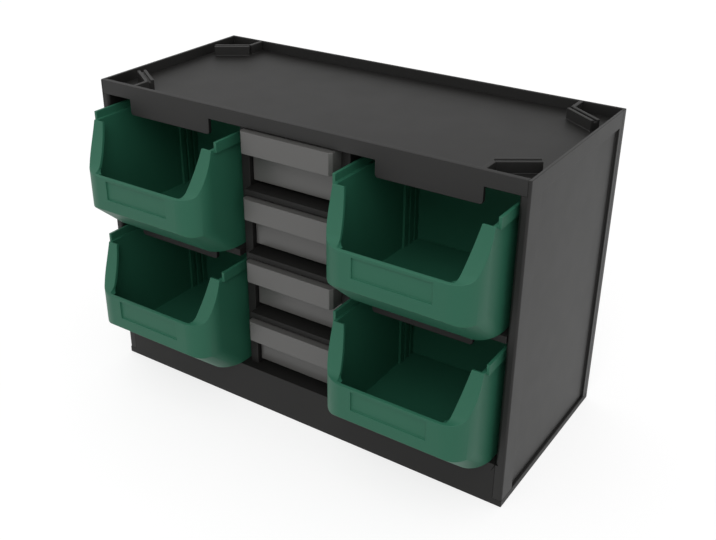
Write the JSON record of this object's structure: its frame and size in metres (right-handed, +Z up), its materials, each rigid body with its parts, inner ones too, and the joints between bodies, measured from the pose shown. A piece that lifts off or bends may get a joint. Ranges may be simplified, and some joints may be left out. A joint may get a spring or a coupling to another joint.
{
  "type": "parts bin cabinet",
  "caption": "Moulded bench cabinet with open-front pull-out bins in side bays and small drawers in a middle column, recessed top with corner sockets for stacking.",
  "frame": {"origin": "on the ground under the middle of the whole cabinet, bins' fronts included", "axes": "+Z up, -Y towards the front where the bins and drawers pull out, +X to the right seen from the front"},
  "size_m": [0.306, 0.1718, 0.2107],
  "materials": {
    "housing": "fine-grained moulded plastic, dark grey",
    "bin": "satin moulded plastic, green",
    "divider": "satin moulded plastic, green",
    "drawer": "satin moulded plastic, mid grey"
  },
  "bodies": {
    "housing": {"top_panel": "housing", "base_panel": "housing", "left_side_panel": "housing", "right_side_panel": "housing", "back_panel": "housing", "left_partition": "housing", "right_partition": "housing", "left_bin_shelf": "housing", "right_bin_shelf": "housing", "lower_drawer_shelf": "housing", "middle_drawer_shelf": "housing", "upper_drawer_shelf": "housing"},
    "upper_left_bin": {"upper_left_bin": "bin", "upper_left_divider": "divider"},
    "upper_right_bin": {"upper_right_bin": "bin", "upper_right_divider": "divider"},
    "lower_left_bin": {"lower_left_bin": "bin", "lower_left_divider": "divider"},
    "lower_right_bin": {"lower_right_bin": "bin", "lower_right_divider": "divider"},
    "top_drawer": {"top_drawer": "drawer"},
    "upper_drawer": {"upper_drawer": "drawer"},
    "lower_drawer": {"lower_drawer": "drawer"},
    "bottom_drawer": {"bottom_drawer": "drawer"}
  },
  "joints": [
    {"name": "upper_left_bin_slide", "type": "slide", "parent": "housing", "child": "upper_left_bin", "axis": [0, -1, 0], "range_m": [0, 0.11]},
    {"name": "upper_right_bin_slide", "type": "slide", "parent": "housing", "child": "upper_right_bin", "axis": [0, -1, 0], "range_m": [0, 0.11]},
    {"name": "lower_left_bin_slide", "type": "slide", "parent": "housing", "child": "lower_left_bin", "axis": [0, -1, 0], "range_m": [0, 0.11]},
    {"name": "lower_right_bin_slide", "type": "slide", "parent": "housing", "child": "lower_right_bin", "axis": [0, -1, 0], "range_m": [0, 0.11]},
    {"name": "top_drawer_slide", "type": "slide", "parent": "housing", "child": "top_drawer", "axis": [0, -1, 0], "range_m": [0, 0.09]},
    {"name": "upper_drawer_slide", "type": "slide", "parent": "housing", "child": "upper_drawer", "axis": [0, -1, 0], "range_m": [0, 0.09]},
    {"name": "lower_drawer_slide", "type": "slide", "parent": "housing", "child": "lower_drawer", "axis": [0, -1, 0], "range_m": [0, 0.09]},
    {"name": "bottom_drawer_slide", "type": "slide", "parent": "housing", "child": "bottom_drawer", "axis": [0, -1, 0], "range_m": [0, 0.09]}
  ]
}
